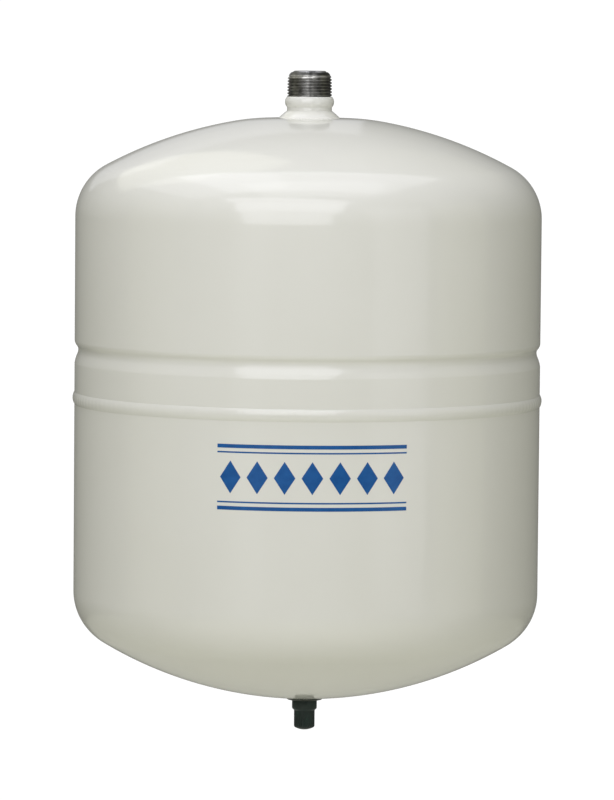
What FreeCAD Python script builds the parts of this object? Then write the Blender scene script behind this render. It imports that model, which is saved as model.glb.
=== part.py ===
import FreeCAD, Part
import math
import os

import Sketcher

# Water heater expansion tank. The origin is on the tank's axis at the foot of the pipe
# thread, where the thread comes out of its weld. +Z points out of the nipple's mouth.
# Every height in this file is measured from there, and most of them are negative.
# All sizes are in millimetres.

SIZES = {
    # Steel shells
    "tank_radius": 139.7,
    "shell_wall": 1.3,
    "pole_drop": 10.75,
    "top_crown_radius": 255.0,
    "top_knuckle_radius": 34.95,
    "top_land_radius": 21.3,
    "top_blend_radius": 134.0,
    "straight_height": 225.2,
    "bottom_crown_radius": 238.0,
    "bottom_knuckle_radius": 34.0,
    "weld_fit": 0.1,
    # Rolled groove that holds the clamp ring
    "groove_drop": 79.7,
    "groove_depth": 2.2,
    "groove_root_radius": 3.6,
    "groove_upper_shoulder": 5.2,
    "groove_lower_shoulder": 12.5,
    # Girth joint of the two shells
    "girth_drop": 108.7,
    "girth_root": 3.2,
    "girth_weld_width": 7.4,
    "girth_weld_crown": 1.2,
    "joggle_lip": 9.0,
    # Pipe nipple: its last threads have full crests, and the rest taper to the mouth
    "thread_radius": 13.335,
    "thread_length": 14.7,
    "full_thread_length": 5.1,
    "thread_taper": 0.03125,
    "nose_length": 4.7,
    "mouth_radius": 10.8,
    "collar_height": 6.3,
    "collar_crown": 1.25,
    "neck_radius": 13.45,
    "nipple_bore_radius": 10.3,
    # Fillet weld of the nipple on the dome
    "neck_weld_foot": 4.9,
    "neck_weld_rise": 4.25,
    "neck_weld_bulge": 0.12,
    # Seal of the liner's neck in the nipple's bore
    "ring_section": 0.9,
    "ring_height": 5.0,
    "ring_groove_width": 2.2,
    # Plastic liner and its insert
    "layer_gap": 0.2,
    "liner_wall": 1.1,
    "liner_skirt": 11.0,
    "liner_rim_drop": 0.7,
    "insert_wall": 1.3,
    "insert_flange_width": 1.1,
    "insert_flange_thickness": 1.4,
    "insert_flange_round": 1.3,
    # Rubber diaphragm and clamp ring
    "diaphragm_wall": 2.0,
    "diaphragm_skirt": 12.0,
    "hoop_wall": 1.5,
    "hoop_half_height": 13.0,
    "hoop_groove_depth": 1.4,
    "hoop_root_radius": 6.0,
    "hoop_shoulder_radius": 3.0,
    # Air valve body
    "land_radius": 14.6,
    "flange_radius": 13.1,
    "flange_thickness": 2.5,
    "flange_edge": 0.5,
    "flange_slope": 3.0,
    "shank_radius": 5.0,
    "shank_length": 8.0,
    "stem_radius": 3.85,
    "stem_length": 14.2,
    "stem_chamfer": 0.5,
    "core_thread_radius": 2.65,
    "core_thread_depth": 7.0,
    "core_seat_depth": 1.2,
    "core_bore_radius": 1.95,
    # Valve core
    "core_clearance": 0.1,
    "pin_radius": 0.42,
    "pin_head_radius": 0.85,
    "pin_head_drop": 0.15,
    "pin_head_height": 0.6,
    "plug_drop": 2.25,
    "plug_length": 4.0,
    "plug_bore_radius": 0.6,
    "bridge_width": 2.2,
    "bridge_height": 1.8,
    "gasket_length": 1.55,
    "barrel_neck_radius": 1.35,
    "barrel_radius": 1.75,
    "barrel_length": 8.2,
    "barrel_bore_radius": 1.1,
    "barrel_step": 0.7,
    "pin_collar_radius": 0.95,
    "pin_collar_drop": 7.0,
    "pin_collar_height": 0.5,
    "cup_radius": 1.7,
    "cup_height": 2.0,
    "cup_wall": 0.25,
    "cup_seal_height": 0.8,
    "spring_wire_radius": 0.12,
    "spring_radius": 0.8,
    "spring_turns": 5.5,
    # Valve cap
    "cap_gap": 0.2,
    "cap_height": 18.2,
    "cap_skirt_radius": 7.5,
    "cap_skirt_height": 6.2,
    "cap_skirt_slope": 0.8,
    "cap_radius": 6.25,
    "cap_end_crown": 12.0,
    "cap_end_round": 1.4,
    "cap_end_wall": 2.3,
    "cap_thread_fit": 0.1,
    "cap_ring_section": 0.8,
    "cap_ring_pocket_depth": 2.4,
    "flute_count": 20,
    "flute_radius": 0.6,
    "flute_depth": 0.3,
    "flute_height": 8.5,
}

# Tangent of half the joggle's 45 degree slope, by which a corner moves when a wall is added
MITRE = math.tan(math.radians(22.5))

doc = FreeCAD.newDocument("expansion_tank")
sheet = doc.addObject("Spreadsheet::Sheet", "sizes")
for row, (alias, number) in enumerate(SIZES.items(), start=1):
    sheet.set(f"A{row}", alias)
    sheet.set(f"B{row}", str(number))
    sheet.setAlias(f"B{row}", alias)
doc.recompute()


class Dim:
    """A length worked out from the sheet: its number now, and the formula that binds to it."""

    def __init__(self, number, formula):
        self.number = float(number)
        self.formula = formula

    def __add__(self, other):
        other = dim(other)
        return Dim(self.number + other.number, f"({self.formula} + {other.formula})")

    def __sub__(self, other):
        other = dim(other)
        return Dim(self.number - other.number, f"({self.formula} - {other.formula})")

    def __mul__(self, other):
        other = dim(other)
        return Dim(self.number * other.number, f"({self.formula} * {other.formula})")

    def __truediv__(self, other):
        other = dim(other)
        return Dim(self.number / other.number, f"({self.formula} / {other.formula})")

    def __neg__(self):
        return Dim(-self.number, f"(0 - {self.formula})")


def dim(value):
    return value if isinstance(value, Dim) else Dim(value, repr(float(value)))


def root(value):
    return Dim(math.sqrt(value.number), f"sqrt({value.formula})")


def leg(hypotenuse, other_leg):
    """The third side of a right triangle."""
    return root(hypotenuse * hypotenuse - other_leg * other_leg)


def diagonal(first_leg, second_leg):
    return root(first_leg * first_leg + second_leg * second_leg)


size = {alias: Dim(number, f"sizes.{alias}") for alias, number in SIZES.items()}


def straight(radius, height):
    """A corner of an outline from which a straight edge goes to the next corner."""
    return (dim(radius), dim(height)), None


def curved(radius, height, bend, turn):
    """A corner from which an arc of radius bend goes on, turning left (1) or right (-1)."""
    return (dim(radius), dim(height)), (dim(bend), turn)


def edge_geometry(start, end, bend):
    """The edge between two corners, and which of its ends each corner is."""
    first = FreeCAD.Vector(start[0].number, start[1].number, 0)
    last = FreeCAD.Vector(end[0].number, end[1].number, 0)
    if bend is None:
        return Part.LineSegment(first, last), 1, 2
    radius, turn = bend
    chord = last - first
    side = FreeCAD.Vector(-chord.y, chord.x, 0).normalize() * turn
    reach = math.sqrt(max(radius.number**2 - (chord.Length / 2) ** 2, 0))
    centre = (first + last) * 0.5 + side * reach
    begin, finish = (first, last) if turn > 0 else (last, first)
    angles = [math.atan2(p.y - centre.y, p.x - centre.x) for p in (begin, finish)]
    if angles[1] < angles[0]:
        angles[1] += 2 * math.pi
    circle = Part.Circle(centre, FreeCAD.Vector(0, 0, 1), radius.number)
    arc = Part.ArcOfCircle(circle, angles[0], angles[1])
    return (arc, 1, 2) if turn > 0 else (arc, 2, 1)


def bind(sketch, kind, name, where, value):
    """Adds one dimension to a sketch and ties it to the sheet."""
    index = sketch.addConstraint(Sketcher.Constraint(kind, *where, value.number))
    sketch.renameConstraint(index, name)
    sketch.setExpression(f"Constraints.{name}", value.formula)


def draw(sketch, outline):
    """Draws a closed outline of straight edges and arcs, with every corner dimensioned."""
    count = len(outline)
    corners = [corner for corner, bend in outline]
    ends = []
    for number, (corner, bend) in enumerate(outline):
        edge, first, last = edge_geometry(corner, corners[(number + 1) % count], bend)
        sketch.addGeometry(edge, False)
        ends.append((first, last))
    for number, ((radius, height), bend) in enumerate(outline):
        first = ends[number][0]
        before = (number - 1) % count
        meet = (before, ends[before][1], number, first)
        sketch.addConstraint(Sketcher.Constraint("Coincident", *meet))
        if abs(radius.number) < 1e-9:
            sketch.addConstraint(Sketcher.Constraint("PointOnObject", number, first, -2))
        else:
            bind(sketch, "DistanceX", f"radius_{number}", (number, first), radius)
        if abs(height.number) < 1e-9:
            sketch.addConstraint(Sketcher.Constraint("PointOnObject", number, first, -1))
        else:
            bind(sketch, "DistanceY", f"height_{number}", (number, first), height)
        if bend is not None:
            bind(sketch, "Radius", f"bend_{number}", (number,), bend[0])


def origin_plane(body, role):
    return next(item for item in body.Origin.OriginFeatures if item.Role == role)


def new_sketch(body, name, role):
    sketch = body.newObject("Sketcher::SketchObject", name)
    sketch.AttachmentSupport = (origin_plane(body, role), [""])
    sketch.MapMode = "FlatFace"
    return sketch


def turned(label, outline):
    """A body turned about the tank's axis from an outline of radius and height."""
    body = doc.addObject("PartDesign::Body", label)
    body.Label = label
    sketch = new_sketch(body, label + "_outline", "XZ_Plane")
    draw(sketch, outline)
    turn = body.newObject("PartDesign::Revolution", label + "_turned")
    turn.Profile = sketch
    turn.ReferenceAxis = (sketch, ["V_Axis"])
    turn.Angle = 360
    return body


def round_ring(label, centre_radius, height, section):
    """A ring of round section about the tank's axis."""
    ring = doc.addObject("Part::Torus", label)
    ring.Label = label
    ring.setExpression("Radius1", centre_radius.formula)
    ring.setExpression("Radius2", section.formula)
    ring.setExpression("Placement.Base.z", height.formula)
    return ring


def backwards(surface):
    """The same run of edges drawn from its far end. Its last corner gives no edge."""
    corners = [corner for corner, bend in surface]
    bends = [None] + [bend and (bend[0], -bend[1]) for corner, bend in surface[:-1]]
    return list(zip(corners, bends))[::-1]


def wall_between(outside, inside):
    """A closed outline from two runs of edges that start at the same end of the wall."""
    return outside + backwards(inside)


# Heights and centres that several pieces share
r_tank = size["tank_radius"]
wall = size["shell_wall"]
gap = size["layer_gap"]
top_pole = -size["pole_drop"]
top_centre = top_pole - size["top_crown_radius"]
top_reach = size["top_crown_radius"] - size["top_knuckle_radius"]
top_tangent = top_centre + leg(top_reach, r_tank - size["top_knuckle_radius"])
# The crown flattens to a level land round the nipple
blend_reach = size["top_crown_radius"] - size["top_blend_radius"]
top_land = top_centre + leg(blend_reach, size["top_land_radius"]) + size["top_blend_radius"]
bottom_tangent = top_tangent - size["straight_height"]
bottom_reach = size["bottom_crown_radius"] - size["bottom_knuckle_radius"]
bottom_centre = bottom_tangent + leg(bottom_reach, r_tank - size["bottom_knuckle_radius"])
groove_height = top_tangent - size["groove_drop"]
girth_height = top_tangent - size["girth_drop"]
neck_hole = size["neck_radius"] + size["weld_fit"]
liner_inset = wall + gap
diaphragm_inset = liner_inset + size["liner_wall"] + gap
hoop_inset = diaphragm_inset + size["diaphragm_wall"] + gap / 2
land_height = bottom_centre - leg(size["bottom_crown_radius"], size["land_radius"])


def grooved_side(inset, depth, root_radius, lower_shoulder, upper_shoulder):
    """Corners of the rolled groove, from below it to above it, on a side at this inset."""
    side = r_tank - inset

    def flank(shoulder_radius):
        reach = root_radius + shoulder_radius
        half_width = leg(reach, reach - depth)
        share = root_radius / reach
        touch_radius = side - depth + root_radius - (reach - depth) * share
        return half_width, touch_radius, half_width * share

    below, lower_touch, lower_rise = flank(lower_shoulder)
    above, upper_touch, upper_rise = flank(upper_shoulder)
    return [
        curved(side, groove_height - below, lower_shoulder, 1),
        curved(lower_touch, groove_height - lower_rise, root_radius, -1),
        curved(upper_touch, groove_height + upper_rise, upper_shoulder, 1),
        straight(side, groove_height + above),
    ]


def shell_groove(inset):
    """The groove as it is at a surface that lies inset behind the shell's outer face."""
    return grooved_side(
        inset,
        size["groove_depth"],
        size["groove_root_radius"] + inset,
        size["groove_lower_shoulder"] - inset,
        size["groove_upper_shoulder"] - inset,
    )


def hoop_groove(inset, behind):
    """The shallower groove of the clamp ring, at a surface behind its outer face."""
    shoulder = size["hoop_shoulder_radius"] - behind
    return grooved_side(inset, size["hoop_groove_depth"], size["hoop_root_radius"] + behind, shoulder, shoulder)


def upper_dome(inset, end_radius):
    """Knuckle, crown and land, from the straight side up to a radius near the axis."""
    crown = size["top_crown_radius"] - inset
    share = crown / top_reach
    across = (r_tank - size["top_knuckle_radius"]) * share
    up = (top_tangent - top_centre) * share
    blend_share = crown / blend_reach
    blend_up = leg(blend_reach, size["top_land_radius"]) * blend_share
    return [
        curved(r_tank - inset, top_tangent, size["top_knuckle_radius"] - inset, 1),
        curved(across, top_centre + up, crown, 1),
        curved(size["top_land_radius"] * blend_share, top_centre + blend_up, size["top_blend_radius"] - inset, 1),
        straight(size["top_land_radius"], top_land - inset),
        straight(end_radius, top_land - inset),
    ]


def upper_shell():
    rim = girth_height + size["girth_root"] / 2

    def surface(inset):
        foot = straight(r_tank - inset, rim)
        return [foot] + shell_groove(inset) + upper_dome(inset, neck_hole)

    return turned("upper_shell", wall_between(surface(dim(0)), surface(wall)))


def lower_shell():
    joggle = wall + size["weld_fit"]
    slope_foot = girth_height - size["girth_root"] / 2
    lip = girth_height + size["joggle_lip"]

    def surface(inset):
        mitre = inset * MITRE
        share = (size["bottom_crown_radius"] - inset) / bottom_reach
        across = (r_tank - size["bottom_knuckle_radius"]) * share
        down = (bottom_centre - bottom_tangent) * share
        land = bottom_centre - leg(size["bottom_crown_radius"], size["land_radius"]) + inset
        land_edge = leg(size["bottom_crown_radius"] - inset, bottom_centre - land)
        return [
            straight(r_tank - joggle - inset, lip),
            straight(r_tank - joggle - inset, slope_foot + joggle - mitre),
            straight(r_tank - inset, slope_foot - mitre),
            curved(r_tank - inset, bottom_tangent, size["bottom_knuckle_radius"] - inset, -1),
            curved(across, bottom_centre - down, size["bottom_crown_radius"] - inset, -1),
            straight(land_edge, land),
            straight(size["shank_radius"] + size["weld_fit"], land),
        ]

    return turned("lower_shell", wall_between(surface(dim(0)), surface(wall)))


def bulge_radius(width, rise):
    """Radius of an arc from its width and its rise."""
    return (width * width / 4 + rise * rise) / (rise * 2)


def girth_weld():
    half = size["girth_weld_width"] / 2
    root_half = size["girth_root"] / 2
    joggle = wall + size["weld_fit"]
    crown = size["girth_weld_crown"]
    bead = bulge_radius(size["girth_weld_width"], crown)
    return turned("girth_weld", [
        curved(r_tank, girth_height - half, bead, 1),
        straight(r_tank, girth_height + half),
        straight(r_tank, girth_height + root_half),
        straight(r_tank - joggle, girth_height + root_half),
        straight(r_tank - joggle, girth_height - root_half + joggle),
        straight(r_tank, girth_height - root_half),
    ])


def neck_weld():
    neck = size["neck_radius"]
    toe = neck + size["neck_weld_foot"]
    top = top_land + size["neck_weld_rise"]
    face = diagonal(size["neck_weld_foot"], size["neck_weld_rise"])
    return turned("neck_weld", [
        curved(toe, top_land, bulge_radius(face, size["neck_weld_bulge"]), 1),
        straight(neck, top),
        straight(neck, top_land),
    ])


def pipe_nipple():
    bore = size["nipple_bore_radius"]
    neck = size["neck_radius"]
    foot = top_land - wall
    groove_half = size["ring_groove_width"] / 2
    groove_floor = bore + size["ring_section"] * 2 - size["weld_fit"]
    mouth = size["thread_length"]
    taper_top = mouth - size["nose_length"]
    small_radius = size["thread_radius"] - (taper_top - size["full_thread_length"]) * size["thread_taper"]
    nose = bulge_radius(size["nose_length"] * 2, small_radius - size["mouth_radius"])
    return turned("pipe_nipple", [
        straight(bore, foot),
        straight(neck, foot),
        curved(neck, -size["collar_height"], bulge_radius(size["collar_height"], size["collar_crown"]), 1),
        straight(neck, 0),
        straight(size["thread_radius"], 0),
        straight(size["thread_radius"], size["full_thread_length"]),
        curved(small_radius, taper_top, nose, 1),
        straight(size["mouth_radius"], mouth),
        straight(bore, mouth),
        straight(bore, size["ring_height"] + groove_half),
        straight(groove_floor, size["ring_height"] + groove_half),
        straight(groove_floor, size["ring_height"] - groove_half),
        straight(bore, size["ring_height"] - groove_half),
    ])


def liner():
    tube = size["nipple_bore_radius"] - size["weld_fit"]
    rim = size["thread_length"] - size["liner_rim_drop"]
    skirt = groove_height - size["liner_skirt"]

    def surface(inset, neck_radius):
        foot = straight(r_tank - inset, skirt)
        return [foot] + shell_groove(inset) + upper_dome(inset, neck_radius) + [straight(neck_radius, rim)]

    outside = surface(liner_inset, tube)
    inside = surface(liner_inset + size["liner_wall"], tube - size["liner_wall"])
    return turned("liner", wall_between(outside, inside))


def liner_o_ring():
    tube = size["nipple_bore_radius"] - size["weld_fit"]
    return round_ring("liner_o_ring", tube + size["ring_section"], size["ring_height"], size["ring_section"])


def liner_insert():
    outside = size["nipple_bore_radius"] - size["weld_fit"] * 2 - size["liner_wall"]
    inside = outside - size["insert_wall"]
    flange = outside + size["insert_flange_width"]
    under_flange = size["thread_length"] - size["liner_rim_drop"] + size["weld_fit"]
    top = under_flange + size["insert_flange_thickness"]
    foot = top_land - liner_inset - size["liner_wall"]
    return turned("liner_insert", [
        straight(inside, foot),
        straight(outside, foot),
        straight(outside, under_flange),
        straight(flange, under_flange),
        curved(flange, top - size["insert_flange_round"], size["insert_flange_round"], 1),
        straight(flange - size["insert_flange_round"], top),
        straight(inside, top),
    ])


def diaphragm():
    skirt = groove_height - size["diaphragm_skirt"]
    inner_inset = diaphragm_inset + size["diaphragm_wall"]

    def surface(inset, groove):
        return [straight(r_tank - inset, skirt)] + groove + upper_dome(inset, dim(0))

    outside = surface(diaphragm_inset, shell_groove(diaphragm_inset))
    inside = surface(inner_inset, hoop_groove(inner_inset, -gap / 2))
    return turned("diaphragm", wall_between(outside, inside))


def clamp_ring():
    low = groove_height - size["hoop_half_height"]
    high = groove_height + size["hoop_half_height"]

    def surface(behind):
        inset = hoop_inset + behind
        side = r_tank - inset
        return [straight(side, low)] + hoop_groove(inset, behind) + [straight(side, high)]

    return turned("clamp_ring", wall_between(surface(dim(0)), surface(size["hoop_wall"])))


# Heights along the air valve, whose outer end points down
flange_foot = land_height - size["flange_thickness"]
stem_end = flange_foot - size["stem_length"]
seat_foot = stem_end + size["core_thread_depth"]
seat_top = seat_foot + size["core_seat_depth"]
plug_foot = stem_end + size["plug_drop"]
plug_top = plug_foot + size["plug_length"]
barrel_foot = plug_top + size["core_clearance"]
barrel_top = barrel_foot + size["barrel_length"]
cup_foot = barrel_top + size["core_clearance"]
cup_top = cup_foot + size["cup_height"]


def air_valve_body():
    shank_top = land_height + wall + size["shank_length"]
    chamfer = size["stem_chamfer"]
    return turned("air_valve_body", [
        straight(size["core_bore_radius"], shank_top),
        straight(size["core_bore_radius"], seat_top),
        straight(size["core_thread_radius"], seat_foot),
        straight(size["core_thread_radius"], stem_end),
        straight(size["stem_radius"] - chamfer, stem_end),
        straight(size["stem_radius"], stem_end + chamfer),
        straight(size["stem_radius"], flange_foot),
        straight(size["flange_radius"] - size["flange_slope"], flange_foot),
        straight(size["flange_radius"], land_height - size["flange_edge"]),
        straight(size["flange_radius"], land_height),
        straight(size["shank_radius"], land_height),
        straight(size["shank_radius"], shank_top - chamfer),
        straight(size["shank_radius"] - chamfer, shank_top),
    ])


def core_plug():
    body = turned("core_plug", [
        straight(size["plug_bore_radius"], plug_foot),
        straight(size["core_thread_radius"] - size["core_clearance"], plug_foot),
        straight(size["core_thread_radius"] - size["core_clearance"], plug_top),
        straight(size["plug_bore_radius"], plug_top),
    ])
    doc.recompute()
    # The two flats that a core key turns, one each side of the bridge
    reach = size["core_thread_radius"] * 1.5
    half = size["bridge_width"] / 2
    for name, side in (("near_flat", -1), ("far_flat", 1)):
        sketch = new_sketch(body, "plug_" + name, "XY_Plane")
        sketch.setExpression("AttachmentOffset.Base.z", plug_foot.formula)
        low, high = (half, reach) if side > 0 else (-reach, -half)
        draw(sketch, [straight(-reach, low), straight(reach, low), straight(reach, high), straight(-reach, high)])
        cut = body.newObject("PartDesign::Pocket", "plug_" + name + "_cut")
        cut.Profile = sketch
        cut.setExpression("Length", size["bridge_height"].formula)
        cut.Reversed = True
        doc.recompute()
    return body


def core_gasket():
    foot = barrel_foot
    top = foot + size["gasket_length"]
    clear = size["core_clearance"] / 2
    inside = size["barrel_neck_radius"] + clear
    slope = (size["core_thread_radius"] - size["core_bore_radius"]) / size["core_seat_depth"]
    foot_radius = size["core_thread_radius"] - clear * 2
    top_radius = size["core_thread_radius"] - (top - seat_foot) * slope - clear * 2
    return turned("core_gasket", [
        straight(inside, foot + clear),
        straight(foot_radius, foot + clear),
        straight(foot_radius, seat_foot),
        straight(top_radius, top),
        straight(inside, top),
    ])


def core_barrel():
    shoulder = barrel_foot + size["gasket_length"] + size["core_clearance"] / 2
    step = barrel_top - size["barrel_step"]
    return turned("core_barrel", [
        straight(size["barrel_bore_radius"], barrel_foot),
        straight(size["barrel_neck_radius"], barrel_foot),
        straight(size["barrel_neck_radius"], shoulder),
        straight(size["barrel_radius"], shoulder),
        straight(size["barrel_radius"], barrel_top),
        straight(size["plug_bore_radius"], barrel_top),
        straight(size["plug_bore_radius"], step),
        straight(size["barrel_bore_radius"], step),
    ])


def core_pin():
    head_foot = stem_end + size["pin_head_drop"]
    head_top = head_foot + size["pin_head_height"]
    collar_foot = stem_end + size["pin_collar_drop"]
    collar_top = collar_foot + size["pin_collar_height"]
    return turned("core_pin", [
        straight(0, head_foot),
        straight(size["pin_head_radius"], head_foot),
        straight(size["pin_head_radius"], head_top),
        straight(size["pin_radius"], head_top),
        straight(size["pin_radius"], collar_foot),
        straight(size["pin_collar_radius"], collar_foot),
        straight(size["pin_collar_radius"], collar_top),
        straight(size["pin_radius"], collar_top),
        straight(size["pin_radius"], cup_top),
        straight(0, cup_top),
    ])


def core_cup():
    roof = cup_foot + size["cup_seal_height"]
    return turned("core_cup", [
        straight(size["pin_radius"], roof),
        straight(size["cup_radius"] - size["cup_wall"], roof),
        straight(size["cup_radius"] - size["cup_wall"], cup_foot),
        straight(size["cup_radius"], cup_foot),
        straight(size["cup_radius"], cup_top),
        straight(size["pin_radius"], cup_top),
    ])


def core_cup_seal():
    roof = cup_foot + size["cup_seal_height"]
    return turned("core_cup_seal", [
        straight(size["pin_radius"], cup_foot),
        straight(size["cup_radius"] - size["cup_wall"], cup_foot),
        straight(size["cup_radius"] - size["cup_wall"], roof),
        straight(size["pin_radius"], roof),
    ])


def core_spring():
    body = doc.addObject("PartDesign::Body", "core_spring")
    body.Label = "core_spring"
    wire = size["spring_wire_radius"]
    foot = stem_end + size["pin_collar_drop"] + size["pin_collar_height"] + wire + size["core_clearance"] / 2
    top = barrel_top - size["barrel_step"] - wire - size["core_clearance"] / 2
    sketch = new_sketch(body, "spring_wire", "XZ_Plane")
    centre = FreeCAD.Vector(size["spring_radius"].number, foot.number, 0)
    circle = Part.Circle(centre, FreeCAD.Vector(0, 0, 1), wire.number)
    sketch.addGeometry(circle, False)
    bind(sketch, "DistanceX", "coil_radius", (0, 3), size["spring_radius"])
    bind(sketch, "DistanceY", "coil_foot", (0, 3), foot)
    bind(sketch, "Radius", "wire_radius", (0,), wire)
    coil = body.newObject("PartDesign::AdditiveHelix", "spring_coil")
    coil.Profile = sketch
    coil.ReferenceAxis = (sketch, ["V_Axis"])
    coil.Mode = "height-turns-angle"
    coil.setExpression("Height", (top - foot).formula)
    coil.setExpression("Turns", "sizes.spring_turns")
    return body


def valve_cap():
    top = flange_foot - size["cap_gap"]
    end = top - size["cap_height"]
    bore = size["stem_radius"] + size["cap_thread_fit"]
    pocket = bore + size["cap_ring_section"] * 2
    skirt_foot = top - size["cap_skirt_height"]
    slope = size["cap_skirt_radius"] - size["cap_radius"]
    # The closed end is crowned, and its edge is rounded into the side
    crown = size["cap_end_crown"]
    edge_reach = crown - size["cap_end_round"]
    edge_across = size["cap_radius"] - size["cap_end_round"]
    edge_down = leg(edge_reach, edge_across)
    share = crown / edge_reach
    body = turned("valve_cap", [
        curved(0, end, crown, 1),
        curved(edge_across * share, end + crown - edge_down * share, size["cap_end_round"], 1),
        straight(size["cap_radius"], end + crown - edge_down),
        straight(size["cap_radius"], skirt_foot),
        straight(size["cap_skirt_radius"], skirt_foot + slope * size["cap_skirt_slope"]),
        straight(size["cap_skirt_radius"], top),
        straight(pocket, top),
        straight(pocket, top - size["cap_ring_pocket_depth"]),
        straight(bore, top - size["cap_ring_pocket_depth"]),
        straight(bore, end + size["cap_end_wall"]),
        straight(0, end + size["cap_end_wall"]),
    ])
    doc.recompute()
    # Grip flutes round the closed end
    sketch = new_sketch(body, "flute_section", "XY_Plane")
    sketch.setExpression("AttachmentOffset.Base.z", end.formula)
    reach = size["cap_radius"] + size["flute_radius"] - size["flute_depth"]
    centre = FreeCAD.Vector(reach.number, 0, 0)
    sketch.addGeometry(Part.Circle(centre, FreeCAD.Vector(0, 0, 1), size["flute_radius"].number), False)
    bind(sketch, "DistanceX", "flute_reach", (0, 3), reach)
    sketch.addConstraint(Sketcher.Constraint("PointOnObject", 0, 3, -1))
    bind(sketch, "Radius", "flute_bend", (0,), size["flute_radius"])
    flute = body.newObject("PartDesign::Pocket", "flute")
    flute.Profile = sketch
    flute.setExpression("Length", size["flute_height"].formula)
    flute.Reversed = True
    doc.recompute()
    flutes = body.newObject("PartDesign::PolarPattern", "flutes")
    flutes.Originals = [flute]
    flutes.Axis = (sketch, ["N_Axis"])
    flutes.Angle = 360
    flutes.setExpression("Occurrences", "sizes.flute_count")
    body.Tip = flutes
    return body


def cap_o_ring():
    section = size["cap_ring_section"]
    top = flange_foot - size["cap_gap"]
    clear = size["cap_gap"] / 4
    reach = size["stem_radius"] + size["cap_thread_fit"] + section
    height = top - size["cap_ring_pocket_depth"] + section + clear
    return round_ring("cap_o_ring", reach, height, section - clear)


subparts = [
    upper_shell(),
    lower_shell(),
    girth_weld(),
    neck_weld(),
    pipe_nipple(),
    liner(),
    liner_o_ring(),
    liner_insert(),
    diaphragm(),
    clamp_ring(),
    air_valve_body(),
    core_plug(),
    core_gasket(),
    core_barrel(),
    core_pin(),
    core_cup(),
    core_cup_seal(),
    core_spring(),
    valve_cap(),
    cap_o_ring(),
]
doc.recompute()

for item in doc.Objects:
    if "Invalid" in item.State or "Error" in item.State:
        raise RuntimeError(f"{item.Name} failed: {item.State}")
for part in subparts:
    if part.Shape.isNull() or not part.Shape.isValid() or not part.Shape.Solids:
        raise RuntimeError(f"{part.Label} has no valid solid")

os.makedirs("parts", exist_ok=True)
for part in subparts:
    part.Shape.exportStep(f"parts/{part.Label}.step")
    box = part.Shape.BoundBox
    print(f"{part.Label}: {part.Shape.Volume:.1f} mm3, height {box.ZMin:.2f} to {box.ZMax:.2f}, radius {box.XMax:.2f}")
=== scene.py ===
import math

import bpy
from mathutils import Matrix, Vector


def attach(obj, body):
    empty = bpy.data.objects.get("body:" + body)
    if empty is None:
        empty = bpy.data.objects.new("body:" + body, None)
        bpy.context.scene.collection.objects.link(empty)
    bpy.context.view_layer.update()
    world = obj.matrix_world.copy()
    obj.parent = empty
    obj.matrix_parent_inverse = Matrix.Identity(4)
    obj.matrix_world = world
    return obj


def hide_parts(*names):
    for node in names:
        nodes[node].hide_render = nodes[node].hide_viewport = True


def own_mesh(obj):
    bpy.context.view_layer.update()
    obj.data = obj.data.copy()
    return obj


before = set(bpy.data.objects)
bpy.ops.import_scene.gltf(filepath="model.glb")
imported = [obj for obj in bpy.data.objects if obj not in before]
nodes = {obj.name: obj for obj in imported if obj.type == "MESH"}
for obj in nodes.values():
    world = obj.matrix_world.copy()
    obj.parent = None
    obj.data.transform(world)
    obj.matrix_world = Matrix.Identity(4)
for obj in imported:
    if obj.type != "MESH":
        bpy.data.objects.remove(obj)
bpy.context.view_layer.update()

# Water heater expansion tank: finish, welds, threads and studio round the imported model.
# All lengths are in metres. Heights are measured from the foot of the pipe thread.
mm = 0.001
tolerance = 0.001 * mm
print("frame loaded:", len(nodes), "nodes")


# Drawing outlines as (radius, height) points

def arc(centre, radius, fromDegrees, toDegrees, steps):
    turn = toDegrees - fromDegrees
    angles = [math.radians(fromDegrees + turn * step / steps) for step in range(steps + 1)]
    return [(centre[0] + radius * math.cos(a), centre[1] + radius * math.sin(a)) for a in angles]


def leg(hypotenuse, otherLeg):
    return math.sqrt(hypotenuse ** 2 - otherLeg ** 2)


def bulgeRadius(half, rise):
    # the radius of an arc that rises this far over half its chord
    return (half ** 2 + rise ** 2) / (2 * rise)


def divided(start, end, steps):
    # a straight stretch, with points between so that long faces don't shade unevenly
    return [
        (start[0] + (end[0] - start[0]) * step / steps, start[1] + (end[1] - start[1]) * step / steps)
        for step in range(steps + 1)
    ]


# Working on meshes

def deselectAll():
    if bpy.context.object and bpy.context.object.mode != "OBJECT":
        bpy.ops.object.mode_set(mode="OBJECT")
    bpy.ops.object.select_all(action="DESELECT")


def selectOnly(piece):
    deselectAll()
    piece.select_set(True)
    bpy.context.view_layer.objects.active = piece


def settle(piece, name, smoothDegrees=35):
    # the finished piece sits at the origin, with its place in its mesh
    selectOnly(piece)
    bpy.ops.object.transform_apply(location=True, rotation=True, scale=True)
    bpy.ops.object.shade_smooth_by_angle(angle=math.radians(smoothDegrees))
    piece.name = name
    piece.data.name = name
    return piece


def mergeDoubles():
    bpy.ops.mesh.select_all(action="SELECT")
    bpy.ops.mesh.remove_doubles(threshold=tolerance)


def faceOutwards():
    bpy.ops.mesh.select_all(action="SELECT")
    bpy.ops.mesh.normals_make_consistent(inside=False)
    bpy.ops.object.mode_set(mode="OBJECT")


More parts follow.
